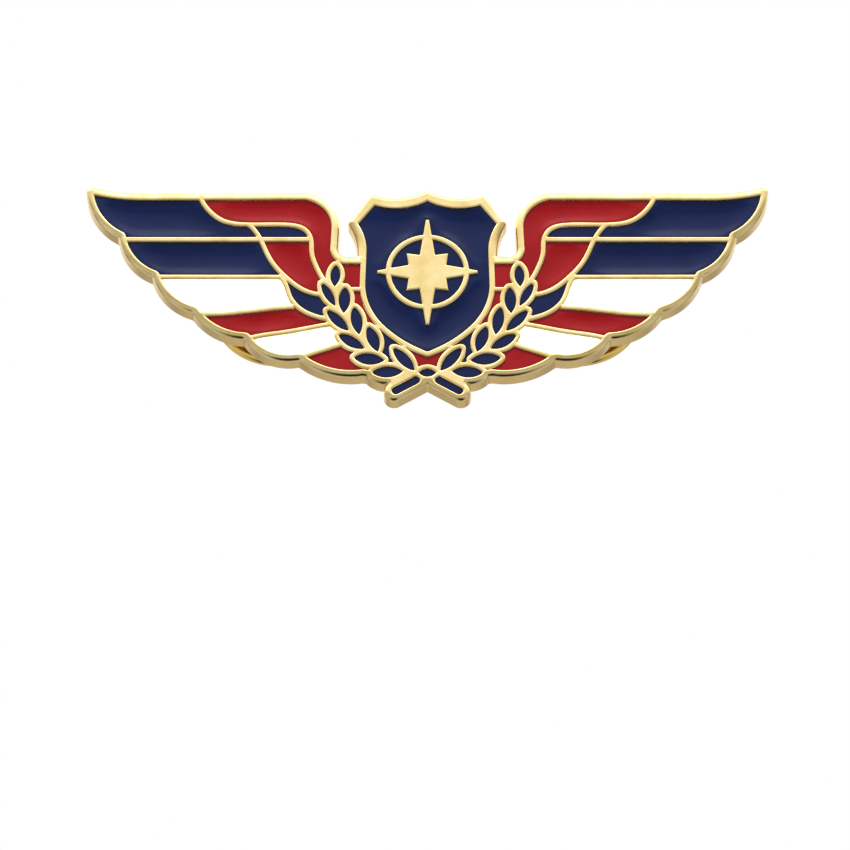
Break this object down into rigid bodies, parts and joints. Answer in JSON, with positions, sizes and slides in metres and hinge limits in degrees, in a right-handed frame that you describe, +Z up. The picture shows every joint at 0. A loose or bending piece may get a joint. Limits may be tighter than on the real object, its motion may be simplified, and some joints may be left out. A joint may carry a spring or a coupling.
{
  "type": "pilot wings pin badge",
  "caption": "Die-struck gold wings badge with navy, red and white enamel feathers, a shield with a compass star and a laurel wreath, held by posts with butterfly clutches.",
  "frame": {"origin": "on the flat back face, midway between the two posts", "axes": "+X along the wingspan, +Y out of the back along the posts (the enamelled front faces -Y), +Z up as the badge is worn"},
  "size_m": [0.057, 0.0076, 0.0198],
  "materials": {
    "badge_gold": "pale gold plate, satin front, back brushed up and down",
    "enamel_navy": "glossy soft enamel",
    "enamel_red": "glossy soft enamel",
    "enamel_white": "glossy soft enamel",
    "post_gold": "gold plate, turned",
    "solder": "plated over, smooth",
    "clutch_gold": "polished deep gold",
    "spring_gold": "rolled spring strip, plated"
  },
  "bodies": {
    "badge": {"badge_plate": "badge_gold", "enamel_base_wedge_red": "enamel_red", "enamel_compass_navy": "enamel_navy", "enamel_covert_red_left": "enamel_red", "enamel_covert_red_right": "enamel_red", "enamel_covert_sliver_navy_left": "enamel_navy", "enamel_covert_sliver_navy_right": "enamel_navy", "enamel_inner_block_red_left": "enamel_red", "enamel_inner_block_red_right": "enamel_red", "enamel_inner_sliver_red_left": "enamel_red", "enamel_inner_sliver_red_right": "enamel_red", "enamel_inner_wedge_navy_left": "enamel_navy", "enamel_inner_wedge_navy_right": "enamel_navy", "enamel_knot_navy": "enamel_navy", "enamel_leaves_navy_left": "enamel_navy", "enamel_leaves_navy_right": "enamel_navy", "enamel_primary_1_navy_left": "enamel_navy", "enamel_primary_1_navy_right": "enamel_navy", "enamel_primary_2_navy_left": "enamel_navy", "enamel_primary_2_navy_right": "enamel_navy", "enamel_primary_3_white_left": "enamel_white", "enamel_primary_3_white_right": "enamel_white", "enamel_primary_4_red_left": "enamel_red", "enamel_primary_4_red_right": "enamel_red", "enamel_primary_5_white_left": "enamel_white", "enamel_primary_5_white_right": "enamel_white", "enamel_primary_6_red_left": "enamel_red", "enamel_primary_6_red_right": "enamel_red", "enamel_secondary_red_left": "enamel_red", "enamel_secondary_red_right": "enamel_red", "enamel_shield_navy": "enamel_navy", "enamel_stem_navy_left": "enamel_navy", "enamel_stem_navy_right": "enamel_navy", "enamel_tertial_navy_left": "enamel_navy", "enamel_tertial_navy_right": "enamel_navy", "post_left": "post_gold", "post_right": "post_gold", "solder_fillet_left": "solder", "solder_fillet_right": "solder"},
    "clutch_base_left": {"clutch_base_disc_left": "clutch_gold"},
    "clutch_cap_left": {"clutch_shell_left": "clutch_gold", "clutch_spring_web_left": "spring_gold"},
    "wing_a_left": {"clutch_wing_a_left": "spring_gold"},
    "wing_b_left": {"clutch_wing_b_left": "spring_gold"},
    "clutch_base_right": {"clutch_base_disc_right": "clutch_gold"},
    "clutch_cap_right": {"clutch_shell_right": "clutch_gold", "clutch_spring_web_right": "spring_gold"},
    "wing_a_right": {"clutch_wing_a_right": "spring_gold"},
    "wing_b_right": {"clutch_wing_b_right": "spring_gold"}
  },
  "joints": [
    {"name": "clutch_slide_left", "type": "slide", "parent": "badge", "child": "clutch_base_left", "axis": [0, 1, 0], "range_m": [0, 0.008]},
    {"name": "clutch_spin_left", "type": "hinge", "parent": "clutch_base_left", "child": "clutch_cap_left", "pos_m": [-0.0125, 0.0018, 0], "axis": [0, 1, 0], "continuous": true},
    {"name": "wing_a_squeeze_left", "type": "hinge", "parent": "clutch_cap_left", "child": "wing_a_left", "pos_m": [-0.01132, 0.00298, 0.00092], "axis": [-0.6157, 0, 0.788], "range_deg": [0, 12], "stiffness_Nm_per_rad": 0.02},
    {"name": "wing_b_squeeze_left", "type": "hinge", "parent": "clutch_cap_left", "child": "wing_b_left", "pos_m": [-0.01368, 0.00298, -0.00092], "axis": [0.6157, 0, -0.788], "range_deg": [0, 12], "stiffness_Nm_per_rad": 0.02},
    {"name": "clutch_slide_right", "type": "slide", "parent": "badge", "child": "clutch_base_right", "axis": [0, 1, 0], "range_m": [0, 0.008]},
    {"name": "clutch_spin_right", "type": "hinge", "parent": "clutch_base_right", "child": "clutch_cap_right", "pos_m": [0.0125, 0.0018, 0], "axis": [0, 1, 0], "continuous": true},
    {"name": "wing_a_squeeze_right", "type": "hinge", "parent": "clutch_cap_right", "child": "wing_a_right", "pos_m": [0.01346, 0.00298, -0.00115], "axis": [0.766, 0, 0.6428], "range_deg": [0, 12], "stiffness_Nm_per_rad": 0.02},
    {"name": "wing_b_squeeze_right", "type": "hinge", "parent": "clutch_cap_right", "child": "wing_b_right", "pos_m": [0.01154, 0.00298, 0.00115], "axis": [-0.766, 0, -0.6428], "range_deg": [0, 12], "stiffness_Nm_per_rad": 0.02}
  ]
}
